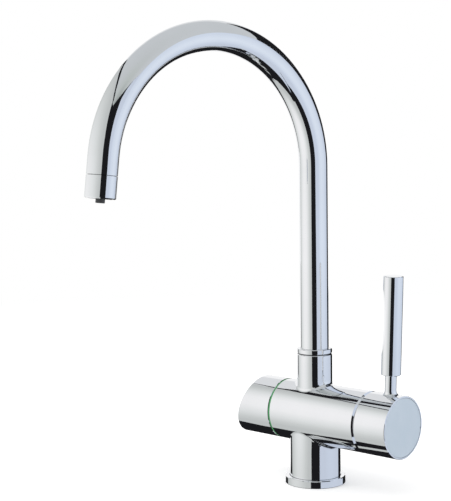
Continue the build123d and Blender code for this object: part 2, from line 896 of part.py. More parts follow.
with BuildPart() as filter_moving_disc:
    turned_bar(barrel_plane, valve_disc_radius, valve_moving_far, valve_moving_near)
    for side in (-valve_port_offset, valve_port_offset):
        rod_along(
            valve_port_radius, valve_moving_far, valve_moving_near, y=side, mode=Mode.SUBTRACT
        )
    for end in (-1, 1):
        block(
            (valve_moving_far, valve_moving_far + drive_tab_reach),
            drive_tab_width / 2,
            sorted((end * (valve_disc_radius - drive_tab_depth), end * (valve_disc_radius + overrun))),
            mode=Mode.SUBTRACT,
        )

with BuildPart() as filter_spindle:
    turned_bar(barrel_plane, spindle_radius, spindle_square_start, spindle_flange_far)
    turned_bar(barrel_plane, valve_disc_radius, spindle_flange_far, valve_moving_far)
    block(
        (spindle_end, spindle_square_start),
        spindle_square_half,
        (-spindle_square_half, spindle_square_half),
    )
    ring_bar(
        barrel_plane,
        circlip_groove_radius,
        spindle_radius + overrun,
        valve_neck_far - circlip_side_gap - circlip_thickness,
        valve_neck_far - circlip_side_gap,
        mode=Mode.SUBTRACT,
    )
    ring_bar(
        barrel_plane,
        spindle_radius - 2 * spindle_seal_wire + fitted_clearance,
        spindle_radius + overrun,
        spindle_seal_station - spindle_seal_wire,
        spindle_seal_station + spindle_seal_wire,
        mode=Mode.SUBTRACT,
    )
    with BuildSketch(Plane.YZ.offset(valve_moving_far)):
        with Locations((0, barrel_axis_height)):
            Circle(valve_disc_radius)
            Rectangle(drive_tab_width - 2 * fitted_clearance, 2 * barrel_radius, mode=Mode.INTERSECT)
            Rectangle(
                drive_tab_width,
                2 * (valve_disc_radius - drive_tab_depth + fitted_clearance),
                mode=Mode.SUBTRACT,
            )
    extrude(amount=drive_tab_reach - fitted_clearance)

with BuildPart() as filter_spindle_seal:
    seal_ring(
        barrel_plane,
        spindle_radius - spindle_seal_wire + fitted_clearance,
        spindle_seal_wire - fitted_clearance / 2,
        spindle_seal_station,
    )

with BuildPart() as filter_spindle_circlip:
    ring_bar(
        barrel_plane,
        circlip_groove_radius,
        circlip_outer_radius,
        valve_neck_far - circlip_side_gap - circlip_thickness,
        valve_neck_far - circlip_side_gap,
    )
    block(
        (
            valve_neck_far - circlip_side_gap - circlip_thickness,
            valve_neck_far - circlip_side_gap,
        ),
        circlip_mouth / 2,
        (0, circlip_outer_radius),
        mode=Mode.SUBTRACT,
    )

with BuildPart() as filter_knob_insert:
    turned_bar(barrel_plane, insert_radius, insert_end, spindle_square_start)
    block(
        (insert_end, spindle_square_start),
        spindle_square_half + fitted_clearance,
        (-spindle_square_half - fitted_clearance, spindle_square_half + fitted_clearance),
        mode=Mode.SUBTRACT,
    )
    rod_up(
        knob_screw_radius + fitted_clearance,
        barrel_axis_height - insert_radius - overrun,
        barrel_axis_height,
        x=knob_screw_station,
        mode=Mode.SUBTRACT,
    )


def sloped_bar(radius, near, far_at_axis):
    """Bar on the barrel axis with a square near end and a far end cut on the knob's slope."""
    reach = radius * tan(radians(knob_slope))
    slope = Plane(
        origin=(far_at_axis, 0, barrel_axis_height),
        z_dir=(-cos(radians(knob_slope)), 0, sin(radians(knob_slope))),
    )
    with BuildPart() as bar:
        turned_bar(barrel_plane, radius, far_at_axis - reach - overrun, near)
        split(bisect_by=slope, keep=Keep.BOTTOM)
    return bar.part


knob_cavity_end = knob_end_at_axis + knob_end_wall / cos(radians(knob_slope))
knob_shell = sloped_bar(barrel_radius, knob_start, knob_end_at_axis)
knob_hollow = sloped_bar(barrel_radius - knob_wall, knob_start, knob_cavity_end)
knob_boss = sloped_bar(knob_boss_radius, knob_boss_start, knob_end_at_axis + knob_end_wall / 2)
with BuildPart() as filter_knob:
    add(knob_shell)
    slope_rim = filter_knob.edges().filter_by(GeomType.ELLIPSE)
    fillet(slope_rim, radius=knob_edge)
    front_rim = filter_knob.edges().filter_by(GeomType.CIRCLE)
    chamfer(front_rim, length=fine_edge)
    add(knob_hollow, mode=Mode.SUBTRACT)
    add(knob_boss)
    turned_bar(
        barrel_plane,
        insert_radius + fitted_clearance,
        insert_end - fitted_clearance,
        knob_boss_start,
        mode=Mode.SUBTRACT,
    )
    rod_up(
        knob_screw_radius + fitted_clearance,
        barrel_axis_height - knob_boss_radius - overrun,
        barrel_axis_height,
        x=knob_screw_station,
        mode=Mode.SUBTRACT,
    )
    rod_up(
        knob_access_radius,
        barrel_axis_height - barrel_radius - overrun,
        barrel_axis_height - knob_boss_radius - overrun,
        x=knob_screw_station,
        mode=Mode.SUBTRACT,
    )

knob_screw_top = barrel_axis_height - spindle_square_half
with BuildPart() as filter_knob_screw:
    rod_up(
        knob_screw_radius, knob_screw_top - knob_screw_length, knob_screw_top, x=knob_screw_station
    )
    with BuildSketch(Plane.XY.offset(knob_screw_top - knob_screw_length)):
        with Locations((knob_screw_station, 0)):
            RegularPolygon(knob_screw_hex, 6, major_radius=False)
    extrude(amount=knob_screw_hex_depth, mode=Mode.SUBTRACT)

# Spout: bearing ring, collar, ferrule with seals, and the bent tube
tube_bore = tube_radius - tube_wall
with BuildPart() as spout_slide_ring:
    ring_bar(
        riser_plane,
        spout_bore_radius,
        neck_radius - neck_edge - slide_ring_inset,
        neck_top,
        collar_bottom,
    )

with BuildPart() as spout_collar:
    turn(
        riser_plane,
        (tube_radius + fitted_clearance, collar_bottom),
        (neck_radius - collar_edge, collar_bottom),
        (neck_radius, collar_bottom + collar_edge),
        (neck_radius, collar_bottom + collar_height - collar_edge),
        (neck_radius - collar_edge, collar_bottom + collar_height),
        (tube_radius + fitted_clearance, collar_bottom + collar_height),
    )

with BuildPart() as spout_ferrule:
    turn(
        riser_plane,
        (ferrule_bore, ferrule_bottom),
        (ferrule_radius - fine_edge, ferrule_bottom),
        (ferrule_radius, ferrule_bottom + fine_edge),
        (ferrule_radius, collar_bottom),
        (tube_bore - fitted_clearance, collar_bottom),
        (tube_bore - fitted_clearance, collar_bottom + ferrule_spigot_length),
        (ferrule_bore, collar_bottom + ferrule_spigot_length),
    )
    for height in (spout_seal_low, spout_seal_high):
        ring_bar(
            riser_plane,
            ferrule_radius - 2 * spout_seal_wire + running_clearance,
            ferrule_radius + overrun,
            height - spout_seal_wire,
            height + spout_seal_wire,
            mode=Mode.SUBTRACT,
        )
    ring_bar(
        riser_plane,
        ferrule_radius - stop_groove_depth,
        ferrule_radius + overrun,
        stop_groove_height - stop_groove_half_width,
        stop_groove_height + stop_groove_half_width,
        mode=Mode.SUBTRACT,
    )

with BuildPart() as spout_seals:
    for height in (spout_seal_low, spout_seal_high):
        seal_ring(
            riser_plane,
            spout_bore_radius - spout_seal_wire,
            spout_seal_wire - spout_seal_squeeze,
            height,
        )

stop_screw_inner = ferrule_radius + running_clearance
with BuildPart() as spout_stop_screw:
    with Locations(Location((0, stop_screw_inner, stop_groove_height), (-90, 0, 0))):
        Cylinder(
            stop_screw_radius,
            neck_radius - neck_edge - stop_screw_inner,
            align=(Align.CENTER, Align.CENTER, Align.MIN),
        )
        Cylinder(
            stop_screw_tip_radius,
            stop_screw_tip_length,
            align=(Align.CENTER, Align.CENTER, Align.MAX),
        )
    with BuildSketch(Plane.XZ.offset(neck_edge - neck_radius)):
        with Locations((0, stop_groove_height)):
            RegularPolygon(stop_screw_hex, 6, major_radius=False)
    extrude(amount=stop_screw_hex_depth, mode=Mode.SUBTRACT)


def spout_line(low, outlet_gap):
    """Centre line of the spout from a height on the riser to a distance short of the outlet."""
    end_straight = outlet_straight - outlet_gap
    with BuildLine(arch_plane) as line:
        Line((0, low), (0, arch_start_height))
        bend = CenterArc((arch_radius, arch_start_height), arch_radius, 180, -arch_sweep)
        PolarLine(bend @ 1, end_straight, direction=bend % 1)
    return line.line


tube_end_gap = nozzle_length + nozzle_seam
with BuildPart() as spout_tube:
    with BuildSketch(Plane.XY.offset(collar_bottom)):
        Circle(tube_radius)
        Circle(tube_bore, mode=Mode.SUBTRACT)
    sweep(path=spout_line(collar_bottom, tube_end_gap))

# Nozzle end, with heights counted up the tube from the outlet
aerator_top = aerator_inset + aerator_height
washer_top = aerator_top + washer_thickness
with BuildPart() as nozzle_sleeve:
    turn(
        outlet_plane,
        (aerator_radius + fitted_clearance, 0),
        (tube_radius - nozzle_edge, 0),
        (tube_radius, nozzle_edge),
        (tube_radius, nozzle_length),
        (tube_bore - fitted_clearance, nozzle_length),
        (tube_bore - fitted_clearance, nozzle_length + nozzle_spigot_length),
        (nozzle_waterway, nozzle_length + nozzle_spigot_length),
        (nozzle_waterway, washer_top),
        (aerator_radius + fitted_clearance, washer_top),
    )

with BuildPart() as aerator_cartridge:
    ring_bar(outlet_plane, tip_radius + fitted_clearance, aerator_radius, aerator_inset, aerator_top)
    for row_radius, row_count in (
        (aerator_inner_row_radius, aerator_inner_row_count),
        (aerator_outer_row_radius, aerator_outer_row_count),
    ):
        with BuildSketch(Plane(outlet_plane.origin, outlet_plane.x_dir, outlet_plane.y_dir)):
            with PolarLocations(row_radius, row_count):
                Circle(aerator_hole_radius)
        extrude(amount=aerator_top + overrun, mode=Mode.SUBTRACT)

with BuildPart() as aerator_washer:
    ring_bar(outlet_plane, washer_inner, aerator_radius, aerator_top, washer_top)

tip_socket_top = aerator_top + tip_socket_height
hose_end_gap = tip_socket_top - hose_insert_depth
with BuildPart() as filter_outlet_tip:
    turn(
        outlet_plane,
        (tip_bore, -tip_length),
        (tip_radius - tip_edge, -tip_length),
        (tip_radius, tip_edge - tip_length),
        (tip_radius, aerator_top),
        (tip_socket_radius, aerator_top),
        (tip_socket_radius, tip_socket_top),
        (hose_radius + fitted_clearance, tip_socket_top),
        (hose_radius + fitted_clearance, hose_end_gap),
        (tip_bore, hose_end_gap),
    )

with BuildPart() as filter_hose:
    with BuildSketch(Plane.XY.offset(adapter_hose_stop)):
        Circle(hose_radius)
        Circle(hose_bore, mode=Mode.SUBTRACT)
    sweep(path=spout_line(adapter_hose_stop, hose_end_gap))

with BuildPart() as filter_hose_adapter:
    turn(
        riser_plane,
        (hose_bore, adapter_bottom),
        (adapter_hole_radius - fitted_clearance, adapter_bottom),
        (adapter_hole_radius - fitted_clearance, chamber_floor),
        (adapter_flange_radius, chamber_floor),
        (adapter_flange_radius, chamber_floor + adapter_flange_height),
        (adapter_socket_radius, chamber_floor + adapter_flange_height),
        (adapter_socket_radius, adapter_top),
        (hose_radius + running_clearance, adapter_top),
        (hose_radius + running_clearance, adapter_hose_stop),
        (hose_bore, adapter_hose_stop),
    )
    ring_bar(
        riser_plane,
        adapter_hole_radius - 2 * adapter_seal_wire,
        adapter_hole_radius,
        adapter_seal_height - adapter_seal_wire,
        adapter_seal_height + adapter_seal_wire,
        mode=Mode.SUBTRACT,
    )

with BuildPart() as filter_adapter_seal:
    seal_ring(
        riser_plane,
        adapter_hole_radius - adapter_seal_wire,
        adapter_seal_wire - fitted_clearance / 2,
        adapter_seal_height,
    )

pieces = {
    "body_column": body_column,
    "body_barrel": body_barrel,
    "body_neck": body_neck,
    "base_flange": base_flange,
    "base_gasket": base_gasket,
    "cartridge_port_plate": cartridge_port_plate,
    "cartridge_port_seals": cartridge_port_seals,
    "cartridge_fixed_disc": cartridge_fixed_disc,
    "cartridge_moving_disc": cartridge_moving_disc,
    "cartridge_disc_carrier": cartridge_disc_carrier,
    "cartridge_housing": cartridge_housing,
    "cartridge_turret": cartridge_turret,
    "cartridge_pivot_pin": cartridge_pivot_pin,
    "cartridge_stem": cartridge_stem,
    "cartridge_nut": cartridge_nut,
    "cartridge_dome": cartridge_dome,
    "mixer_hub": mixer_hub,
    "hub_end_cap": hub_end_cap,
    "hub_grub_screw": hub_grub_screw,
    "lever_handle": lever_handle,
    "filter_marker_ring": filter_marker_ring,
    "filter_valve_body": filter_valve_body,
    "filter_valve_seal": filter_valve_seal,
    "filter_fixed_disc": filter_fixed_disc,
    "filter_moving_disc": filter_moving_disc,
    "filter_spindle": filter_spindle,
    "filter_spindle_seal": filter_spindle_seal,
    "filter_spindle_circlip": filter_spindle_circlip,
    "filter_knob_insert": filter_knob_insert,
    "filter_knob": filter_knob,
    "filter_knob_screw": filter_knob_screw,
    "spout_slide_ring": spout_slide_ring,
    "spout_collar": spout_collar,
    "spout_ferrule": spout_ferrule,
    "spout_seals": spout_seals,
    "spout_stop_screw": spout_stop_screw,
    "spout_tube": spout_tube,
    "nozzle_sleeve": nozzle_sleeve,
    "aerator_cartridge": aerator_cartridge,
    "aerator_washer": aerator_washer,
    "filter_outlet_tip": filter_outlet_tip,
    "filter_hose": filter_hose,
    "filter_hose_adapter": filter_hose_adapter,
    "filter_adapter_seal": filter_adapter_seal,
}

os.makedirs("parts", exist_ok=True)
for name, piece in pieces.items():
    piece.part.label = name
    export_step(piece.part, f"parts/{name}.step")
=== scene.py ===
from math import cos, radians, sin

import bpy
from mathutils import Matrix, Vector

# Drinking water filter tap in metres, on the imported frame: lever to +X, spout to -Y, up +Z
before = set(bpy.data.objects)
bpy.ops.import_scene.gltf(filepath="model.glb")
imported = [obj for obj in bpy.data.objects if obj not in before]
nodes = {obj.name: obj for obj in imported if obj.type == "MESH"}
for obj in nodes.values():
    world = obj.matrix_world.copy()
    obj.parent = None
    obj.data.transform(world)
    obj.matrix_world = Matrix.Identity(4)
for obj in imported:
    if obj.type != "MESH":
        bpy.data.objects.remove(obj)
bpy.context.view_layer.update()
scene = bpy.context.scene

# Camera at the photograph's viewing angle
frame_height_pixels = 501
focal_pixels = 1326.96
sensor_length = 36.0
nearest_seen = 0.01
farthest_seen = 50
camera_yaw = radians(43.825)
camera_pitch = radians(5.069)
camera_roll = radians(-0.741)
camera_distance = 1.02272
camera_side = -0.06805
camera_aim_height = 0.18216

# Range of grey that noise mostly fills
noise_low = 0.3
noise_high = 0.7

# Painted shade in the narrow joints of the plating
joint_reach = 0.0012
joint_samples = 8
joint_open_low = 0.25
joint_open_high = 0.65
joint_shade_colour = (0.05, 0.05, 0.05)

# Plating: tint, and sizes and amounts of its clouds, haze, hairlines and unevenness
plating = (0.87, 0.88, 0.90)
plating_cloud_shade = 0.97
plating_cloud_scale = 38
haze_scale = 120
haze_low = 0.35
haze_high = 0.75
haze_gain = 1.9
hairline_scale = 260
hairline_threshold = 0.70
hairline_width = 0.04
hairline_roughness = 0.05
plating_relief_scale = 420
plating_relief = 0.006

# Satin disc in the end of the lever's hub
satin_light = (0.57, 0.64, 0.69)
satin_dark = (0.60, 0.66, 0.71)
satin_metal = 0.55
satin_specular = 0.4
satin_cloud_scale = 90
satin_grain_scale = 900
satin_roughness_low = 0.30
satin_roughness_high = 0.42
satin_relief = 0.05

# Moulded and turned stuff
mottle_size = 6
moulded_smooth = 0.85
moulded_rough = 1.2
moulded_relief = 0.12
turning_scale = 300
turning_rough = 1.6
turning_relief = 0.08
relief_depth = 0.0001

# Plated nodes by material: haze, stretch of the hairlines and the nodes
plated_stuff = {
    "chrome_body": (
        0.035,
        (1, 1, 9),
        ("body_column", "body_barrel", "body_neck", "base_flange", "cartridge_dome"),
    ),
    "chrome_trim": (0.030, (9, 1, 1), ("mixer_hub", "filter_knob", "spout_collar")),
    "chrome_lever": (0.035, (9, 9, 1), ("lever_handle",)),
    "chrome_spout": (0.030, (9, 9, 1), ("spout_tube", "nozzle_sleeve")),
}

# Moulded nodes by material: light and dark tone, roughness, scale of the grain and the nodes
moulded_stuff = {
    "green_ring": ((0.055, 0.27, 0.095), (0.045, 0.24, 0.08), 0.5, 900, ("filter_marker_ring",)),
    "dark_outlet": (
        (0.055, 0.058, 0.062),
        (0.04, 0.042, 0.045),
        0.45,
        1200,
        ("filter_outlet_tip", "aerator_cartridge"),
    ),
    "black_rubber": (
        (0.03, 0.03, 0.03),
        (0.02, 0.02, 0.02),
        0.7,
        700,
        (
            "base_gasket",
            "cartridge_port_seals",
            "filter_valve_seal",
            "filter_adapter_seal",
            "filter_spindle_seal",
            "spout_seals",
            "aerator_washer",
        ),
    ),
    "white_ceramic": (
        (0.84, 0.83, 0.80),
        (0.80, 0.79, 0.76),
        0.2,
        500,
        ("cartridge_fixed_disc", "cartridge_moving_disc", "filter_fixed_disc", "filter_moving_disc"),
    ),
    "cartridge_plastic": (
        (0.72, 0.72, 0.70),
        (0.67, 0.67, 0.65),
        0.4,
        800,
        (
            "cartridge_port_plate",
            "cartridge_housing",
            "cartridge_turret",
            "cartridge_disc_carrier",
            "filter_knob_insert",
        ),
    ),
    "black_ring": ((0.02, 0.02, 0.022), (0.015, 0.015, 0.016), 0.5, 900, ("spout_slide_ring",)),
    "hose_plastic": ((0.80, 0.81, 0.82), (0.76, 0.77, 0.78), 0.35, 600, ("filter_hose",)),
}

# Turned nodes by material: light and dark tone, roughness, stretch of the lines and the nodes
turned_stuff = {
    "turned_brass": (
        (0.78, 0.60, 0.30),
        (0.70, 0.53, 0.26),
        0.2,
        (12, 1, 1),
        (
            "cartridge_nut",
            "filter_valve_body",
            "filter_spindle",
            "spout_ferrule",
            "filter_hose_adapter",
            "cartridge_stem",
        ),
    ),
    "turned_steel": (
        (0.62, 0.62, 0.64),
        (0.52, 0.52, 0.54),
        0.25,
        (12, 1, 1),
        (
            "cartridge_pivot_pin",
            "hub_grub_screw",
            "filter_knob_screw",
            "filter_spindle_circlip",
            "spout_stop_screw",
        ),
    ),
}

# Floor that fades into the white surroundings
floor_size = 24.0
floor_fade_start = 0.3
floor_fade_end = 1.2
floor_colour = (0.9, 0.9, 0.9)
floor_roughness = 0.9
floor_specular = 0.1
floor_glow = 0.25
white = (1, 1, 1)

# Soft lamp from the front left, above
key_place = (-1.2, -1.4, 2.0)
key_size = 1.2
key_power = 20

# Cloth of the light tent: each tone fades from its spot outwards
spot_reach = 0.36
left_spot = (-0.30, 0.06, 0.14)
right_spot = (0.30, 0.15, 0.22)
roof_spot = (-0.10, 0.42, 0.495)
warm_cloth = (
    (1.0, 0.99, 0.99),
    (0.97, 0.965, 0.96),
    (0.83, 0.845, 0.835),
    (0.67, 0.69, 0.675),
    (0.58, 0.60, 0.59),
)
blue_cloth = ((0.79, 0.86, 0.96), (0.74, 0.81, 0.92), (0.66, 0.73, 0.85), (0.62, 0.68, 0.79))
roof_cloth = ((0.36, 0.39, 0.38), (0.54, 0.575, 0.56), (0.59, 0.615, 0.625), (0.61, 0.635, 0.65))
backdrop_cloth = ((0.80, 0.81, 0.82),)
near_black = ((0.012, 0.012, 0.014),)

# Tent round the tap. Places are metres to the camera's right, towards the camera and up
tent_front = 0.42
tent_top = 0.495
tent_low = -0.25
cloth_rise = 0.01
loft_height = 1.0

# Rail between left wall and ceiling: right, near, foot and head of each post
left_rail = [
    (-0.300, -0.260, 0.435, 0.450),
    (-0.300, -0.190, 0.452, 0.480),
    (-0.300, -0.130, 0.475, 0.495),
    (-0.300, -0.030, 0.475, 0.495),
    (-0.293, 0.053, 0.475, 0.495),
    (-0.275, 0.161, 0.475, 0.495),
    (-0.255, 0.251, 0.475, 0.495),
    (-0.220, 0.348, 0.475, 0.495),
]
rail_offset = 0.025
rail_drop = 0.008
roof_first_post = 3

# Upright walls: right, near, foot and head of each post
left_front_post = (-0.160, tent_front, tent_low, 0.36)
left_frame = [(-0.30, -0.268, tent_low, 0.435), (-0.30, -0.26, tent_low, 0.450)]
right_wall = [
    (0.300, tent_front, tent_low, tent_top),
    (0.300, 0.02, tent_low, tent_top),
    (0.300, -0.08, tent_low, 0.430),
    (0.300, -0.19, tent_low, 0.250),
]
right_edge = [(0.301, 0.02, tent_low, 0.495), (0.301, -0.65, tent_low, 0.495)]
backdrop = [(-3.0, -1.0, 0.6, 4.0), (3.0, -1.0, 0.6, 4.0)]
dark_front = [(-1.0, 0.50, -1.0, 1.0), (1.0, 0.50, -1.0, 1.0)]

# Cloth at the front, right of the dark slit: right and height
right_flap = [
    (0.300, tent_low),
    (0.300, tent_top),
    (0.210, 0.493),
    (0.120, 0.480),
    (0.058, 0.450),
    (0.075, 0.320),
    (0.100, 0.200),
    (0.120, 0.100),
    (0.120, tent_low),
]

# Level pieces: right and near of each corner
roof_front = [(-0.160, tent_front), (0.300, tent_front)]
roof_rear = [
    (0.300, 0.020),
    (0.118, -0.054),
    (0.050, -0.073),
    (-0.208, -0.107),
    (-0.235, -0.132),
    (-0.300, -0.160),
]
roof_edge_posts = 3
roof_beyond = [(0.0, -0.085), (0.020, -0.200), (0.100, -0.500), (0.300, -0.650)]
dark_loft = [
    (-0.900, -0.100),
    (-0.900, -0.530),
    (-0.612, -0.540),
    (-0.330, -0.600),
    (-0.250, -0.560),
    (-0.100, -0.500),
    (-0.100, -0.100),
]
dark_floor = [
    (-3.0, -3.2),
    (-1.24, -1.6),
    (-0.5, -0.95),
    (-0.1, -0.9),
    (0.05, -0.9),
    (0.1, -3.2),
    (3.0, -3.2),
    (3.0, 0.5),
    (-3.0, 0.5),
]
hub_strip = [
    (-0.118, -0.105),
    (-0.118, -0.088),
    (-0.112, -0.040),
    (-0.070, -0.040),
    (-0.078, -0.115),
    (-0.078, -0.165),
]
barrel_strip = [
    (-0.203, -0.098),
    (-0.180, -0.095),
    (-0.165, -0.075),
    (-0.148, -0.085),
    (-0.150, -0.110),
    (-0.147, -0.152),
    (-0.170, -0.140),
]
left_cloth = [
    (-0.300, -0.170),
    (-0.250, -0.150),
    (-0.233, -0.088),
    (-0.226, -0.071),
    (-0.220, -0.030),
    (-0.200, 0.0),
    (-0.200, 0.30),
    (-0.300, 0.30),
]
right_cloth = [
    (0.300, 0.05),
    (0.263, 0.072),
    (0.193, 0.136),
    (0.110, 0.204),
    (0.039, 0.303),
    (-0.049, 0.396),
    (0.300, 0.396),
]


def make_camera():
    """Camera fitted to the photograph's edges."""
    back = Vector(
        (
            sin(camera_yaw) * cos(camera_pitch),
            -cos(camera_yaw) * cos(camera_pitch),
            sin(camera_pitch),
        )
    )
    level_right = Vector((cos(camera_yaw), sin(camera_yaw), 0))
    level_up = back.cross(level_right)
    right = level_right * cos(camera_roll) + level_up * sin(camera_roll)
    up = level_up * cos(camera_roll) - level_right * sin(camera_roll)
    stand = Vector((0, 0, camera_aim_height)) + back * camera_distance + level_right * camera_side
    data = bpy.data.cameras.new("camera")
    data.lens = focal_pixels * sensor_length / frame_height_pixels
    data.sensor_width = sensor_length
    data.clip_start = nearest_seen
    data.clip_end = farthest_seen
    camera = bpy.data.objects.new("camera", data)
    camera.matrix_world = Matrix.Translation(stand) @ Matrix((right, up, back)).transposed().to_4x4()
    scene.collection.objects.link(camera)
    scene.camera = camera


# Material building blocks
def start_material(name):
    """New node material: returns it with its tree and its surface shader."""
    material = bpy.data.materials.new(name)
    material.use_nodes = True
    tree = material.node_tree
    return material, tree, tree.nodes["Principled BSDF"]


def object_space(tree, stretch=(1, 1, 1)):
    """Object coordinates, scaled along each axis."""
    coordinates = tree.nodes.new("ShaderNodeTexCoord")
    mapping = tree.nodes.new("ShaderNodeMapping")
    mapping.inputs["Scale"].default_value = stretch
    tree.links.new(coordinates.outputs["Object"], mapping.inputs["Vector"])
    return mapping.outputs["Vector"]


def noise(tree, scale, detail=4.0, roughness=0.5, stretch=(1, 1, 1)):
    """Grey noise in object space."""
    texture = tree.nodes.new("ShaderNodeTexNoise")
    texture.inputs["Scale"].default_value = scale
    texture.inputs["Detail"].default_value = detail
    texture.inputs["Roughness"].default_value = roughness
    tree.links.new(object_space(tree, stretch), texture.inputs["Vector"])
    return texture.outputs["Fac"]


def spread(tree, value, low, high, low_out=0, high_out=1):
    """Value taken from one range to another and held inside it."""
    node = tree.nodes.new("ShaderNodeMapRange")
    node.inputs["From Min"].default_value = low
    node.inputs["From Max"].default_value = high
    node.inputs["To Min"].default_value = low_out
    node.inputs["To Max"].default_value = high_out
    tree.links.new(value, node.inputs["Value"])
    return node.outputs["Result"]


def even_out(tree, value, low_out=0, high_out=1):
    """Noise spread over a whole range."""
    return spread(tree, value, noise_low, noise_high, low_out, high_out)


def two_colours(tree, factor, first, second):
    """Blend of two colours by a factor."""
    node = tree.nodes.new("ShaderNodeMix")
    node.data_type = "RGBA"
    node.inputs[6].default_value = (*first, 1)
    node.inputs[7].default_value = (*second, 1)
    tree.links.new(factor, node.inputs[0])
    return node.outputs[2]


def add_values(tree, first, second):
    """Sum of two values."""
    node = tree.nodes.new("ShaderNodeMath")
    node.operation = "ADD"
    tree.links.new(first, node.inputs[0])
    tree.links.new(second, node.inputs[1])
    return node.outputs["Value"]


def bump(tree, shader, height, strength):
    """Fine relief from a height value."""
    node = tree.nodes.new("ShaderNodeBump")
    node.inputs["Strength"].default_value = strength
    node.inputs["Distance"].default_value = relief_depth
    tree.links.new(height, node.inputs["Height"])
    tree.links.new(node.outputs["Normal"], shader.inputs["Normal"])


def scratches(tree, stretch):
    """Sparse hairlines, from noise pulled out along one axis."""
    lines = noise(tree, hairline_scale, detail=2.0, roughness=0.6, stretch=stretch)
    return spread(tree, lines, hairline_threshold, hairline_threshold + hairline_width)


def joint_shade(tree, colour):
    """Colour with painted shade that darkens it deep inside narrow joints, the more the more closed in
    they are.
    """
    # painted shade: ambient occlusion darkens the colour inside narrow joints, where shade falls
    crevice = tree.nodes.new("ShaderNodeAmbientOcclusion")
    crevice.inputs["Distance"].default_value = joint_reach
    crevice.samples = joint_samples
    node = tree.nodes.new("ShaderNodeMix")
    node.data_type = "RGBA"
    node.inputs[6].default_value = (*joint_shade_colour, 1)
    tree.links.new(colour, node.inputs[7])
    openness = spread(tree, crevice.outputs["AO"], joint_open_low, joint_open_high)
    tree.links.new(openness, node.inputs[0])
    return node.outputs[2]


def chrome(name, polish, hairline_stretch):
    """Polished plating: clear mirror with faint haze, hairlines and painted shade in its joints."""
    material, tree, shader = start_material(name)
    shader.inputs["Metallic"].default_value = 1.0
    cloud = even_out(tree, noise(tree, plating_cloud_scale, detail=3.0))
    shaded = [channel * plating_cloud_shade for channel in plating]
    colour = joint_shade(tree, two_colours(tree, cloud, plating, shaded))
    tree.links.new(colour, shader.inputs["Base Color"])
    fog = noise(tree, haze_scale, detail=5.0)
    haze = spread(tree, fog, haze_low, haze_high, polish, polish * haze_gain)
    hairlines = spread(tree, scratches(tree, hairline_stretch), 0, 1, 0, hairline_roughness)
    tree.links.new(add_values(tree, haze, hairlines), shader.inputs["Roughness"])
    bump(tree, shader, noise(tree, plating_relief_scale, detail=2.0), plating_relief)
    return material


def satin_disc():
    """Pale blue-grey satin metal with a fine grain."""
    material, tree, shader = start_material("satin_disc")
    shader.inputs["Metallic"].default_value = satin_metal
    shader.inputs["Specular IOR Level"].default_value = satin_specular
    cloud = even_out(tree, noise(tree, satin_cloud_scale))
    tree.links.new(two_colours(tree, cloud, satin_light, satin_dark), shader.inputs["Base Color"])
    grain = noise(tree, satin_grain_scale, detail=3.0)
    roughness = even_out(tree, grain, satin_roughness_low, satin_roughness_high)
    tree.links.new(roughness, shader.inputs["Roughness"])
    bump(tree, shader, grain, satin_relief)
    return material


def moulded(name, light, dark, roughness, grain_scale):
    """Moulded plastic or rubber: slight mottling, soft sheen and fine skin."""
    material, tree, shader = start_material(name)
    cloud = even_out(tree, noise(tree, grain_scale / mottle_size))
    tree.links.new(two_colours(tree, cloud, light, dark), shader.inputs["Base Color"])
    grain = noise(tree, grain_scale)
    sheen = even_out(tree, grain, roughness * moulded_smooth, roughness * moulded_rough)
    tree.links.new(sheen, shader.inputs["Roughness"])
    bump(tree, shader, grain, moulded_relief)
    return material


def turned(name, light, dark, roughness, stretch):
    """Turned metal: fine lines from the tool across a bright surface."""
    material, tree, shader = start_material(name)
    shader.inputs["Metallic"].default_value = 1.0
    lines = noise(tree, turning_scale, detail=3.0, stretch=stretch)
    colour = two_colours(tree, even_out(tree, lines), light, dark)
    tree.links.new(colour, shader.inputs["Base Color"])
    sheen = even_out(tree, lines, roughness, roughness * turning_rough)
    tree.links.new(sheen, shader.inputs["Roughness"])
    bump(tree, shader, lines, turning_relief)
    return material


def dress(material, names):
    """Gives the named CAD nodes one material."""
    for name in names:
        slots = nodes[name].data.materials
        slots.clear()
        slots.append(material)


def dress_nodes():
    """Materials of every node, by the stuff it is made of."""
    for name, (polish, stretch, names) in plated_stuff.items():
        dress(chrome(name, polish, stretch), names)
    dress(satin_disc(), ("hub_end_cap",))
    for name, (light, dark, roughness, scale, names) in moulded_stuff.items():
        dress(moulded(name, light, dark, roughness, scale), names)
    for name, (light, dark, roughness, stretch, names) in turned_stuff.items():
        dress(turned(name, light, dark, roughness, stretch), names)


# Studio: a pale floor, and a light tent that the plating mirrors
def place(right, near, height):
    """Point given to the camera's right, towards the camera and up."""
    return Vector(
        (
            right * cos(camera_yaw) + near * sin(camera_yaw),
            right * sin(camera_yaw) - near * cos(camera_yaw),
            height,
        )
    )


def glow(name, colours, spot):
    """Light from cloth: one colour, or several that change with the distance from a spot."""
    material = bpy.data.materials.new(name)
    material.use_nodes = True
    tree = material.node_tree
    tree.nodes.clear()
    emission = tree.nodes.new("ShaderNodeEmission")
    output = tree.nodes.new("ShaderNodeOutputMaterial")
    tree.links.new(emission.outputs["Emission"], output.inputs["Surface"])
    if len(colours) == 1:
        emission.inputs["Color"].default_value = (*colours[0], 1)
        return material
    coordinates = tree.nodes.new("ShaderNodeTexCoord")
    distance = tree.nodes.new("ShaderNodeVectorMath")
    distance.operation = "DISTANCE"
    distance.inputs[1].default_value = place(*spot)
    tree.links.new(coordinates.outputs["Object"], distance.inputs[0])
    ramp = tree.nodes.new("ShaderNodeValToRGB")
    stops = ramp.color_ramp.elements
    while len(stops) < len(colours):
        stops.new(1.0)
    for index, colour in enumerate(colours):
        stops[index].position = index / (len(colours) - 1)
        stops[index].color = (*colour, 1)
    far = spread(tree, distance.outputs["Value"], 0, spot_reach)
    tree.links.new(far, ramp.inputs["Fac"])
    tree.links.new(ramp.outputs["Color"], emission.inputs["Color"])
    return material


